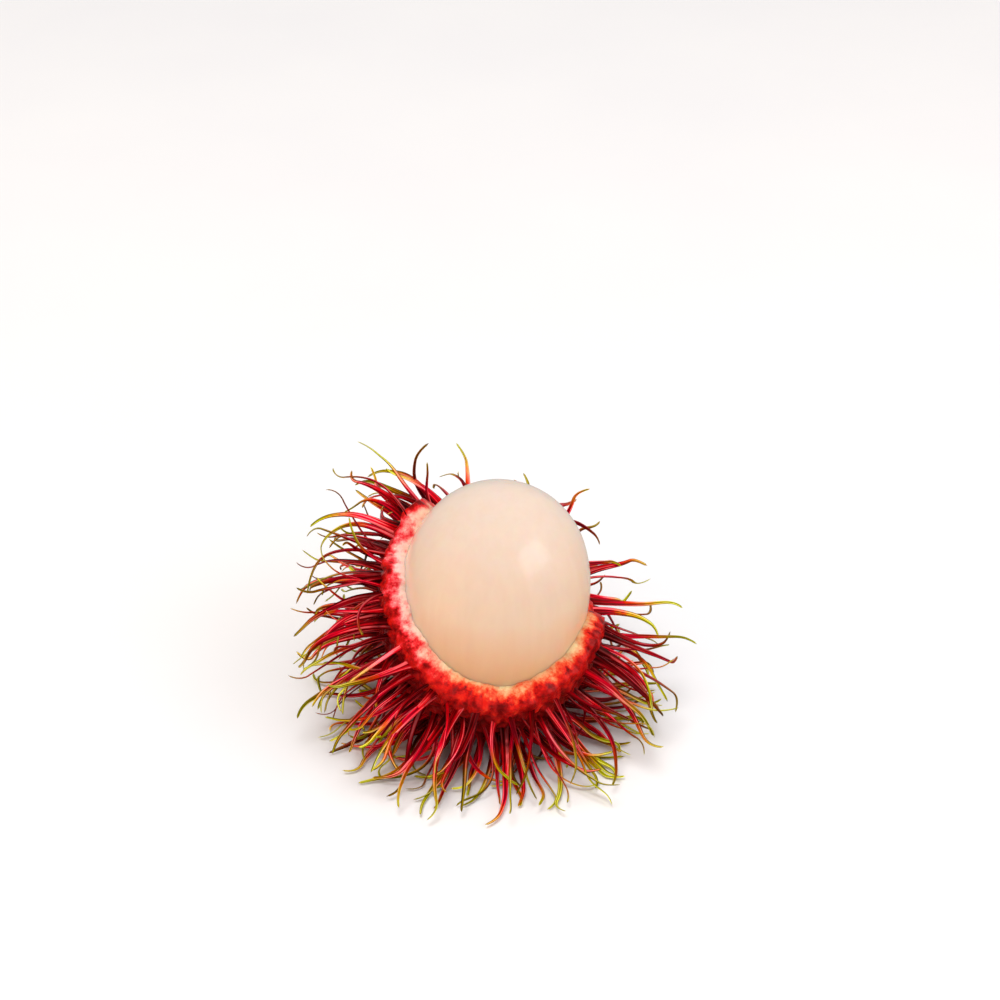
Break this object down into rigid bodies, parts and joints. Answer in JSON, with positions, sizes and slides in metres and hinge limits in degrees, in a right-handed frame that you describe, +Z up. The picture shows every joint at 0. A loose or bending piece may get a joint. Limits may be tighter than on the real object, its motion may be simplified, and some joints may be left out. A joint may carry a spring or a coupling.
{
  "type": "half-peeled rambutan",
  "caption": "Tropical fruit served half peeled: a smooth white egg of flesh resting in the lower part of its torn red rind, which bristles with long soft curved spines.",
  "frame": {"origin": "centre of the small flat spot under the rind, where the fruit rests on a surface", "axes": "+Z up, -Z out of the flat spot; the torn opening faces -Y and upwards, +X to its right"},
  "size_m": [0.0673, 0.068, 0.0428],
  "materials": {
    "rind_skin": "satin",
    "flesh": "satin"
  },
  "bodies": {
    "root": {"rind": "rind_skin", "aril": "flesh"}
  },
  "joints": []
}
